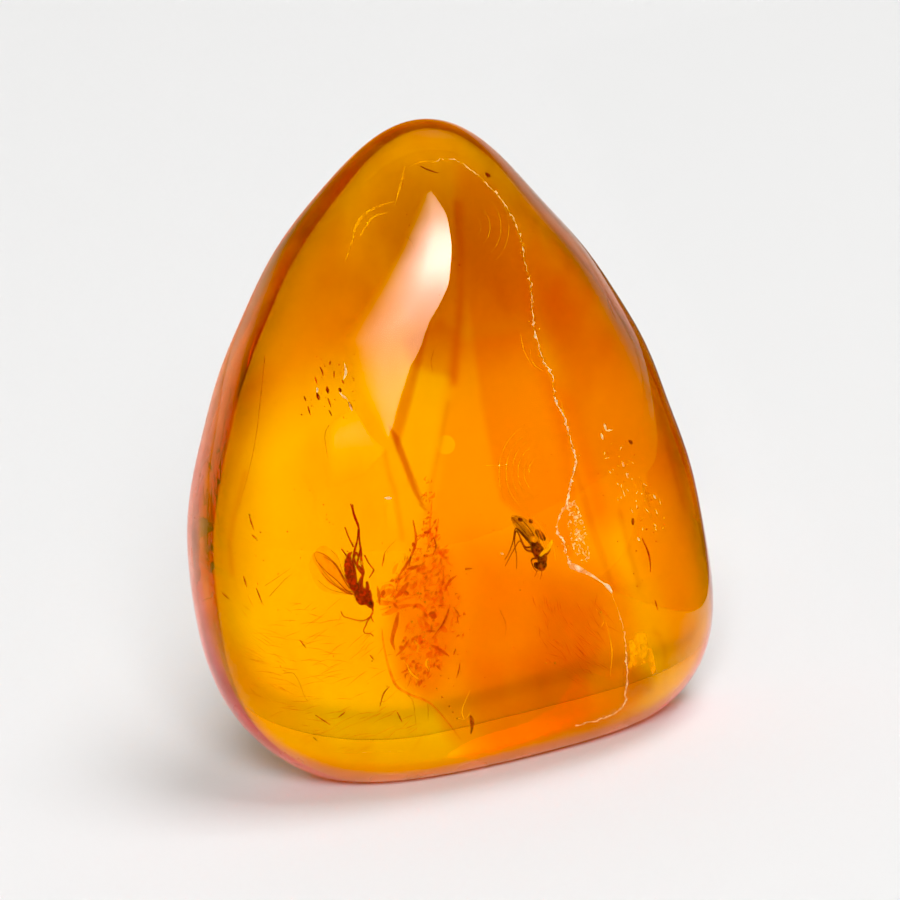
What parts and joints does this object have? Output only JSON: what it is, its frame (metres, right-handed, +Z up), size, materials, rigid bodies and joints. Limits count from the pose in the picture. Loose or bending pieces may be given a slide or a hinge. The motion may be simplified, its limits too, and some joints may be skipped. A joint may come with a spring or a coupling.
{
  "type": "insect in amber",
  "caption": "Polished drop-shaped pebble of clear amber standing on a small flat, with a long-legged gnat and a small fly sealed inside.",
  "frame": {"origin": "on the flat foot that the pebble stands on, at its middle", "axes": "+Z up the height of the pebble, +X to the right across its width as the front dome is seen, -Y out of the front dome"},
  "size_m": [0.0291, 0.0134, 0.0353],
  "materials": {
    "amber": "clear polished amber, yellow to orange-red with depth",
    "insect_brown": "dark reddish brown insect skin",
    "insect_olive": "dark olive brown insect skin"
  },
  "bodies": {
    "root": {"amber_front": "amber", "amber_back": "amber", "gnat": "insect_brown", "small_fly": "insect_olive"}
  },
  "joints": []
}
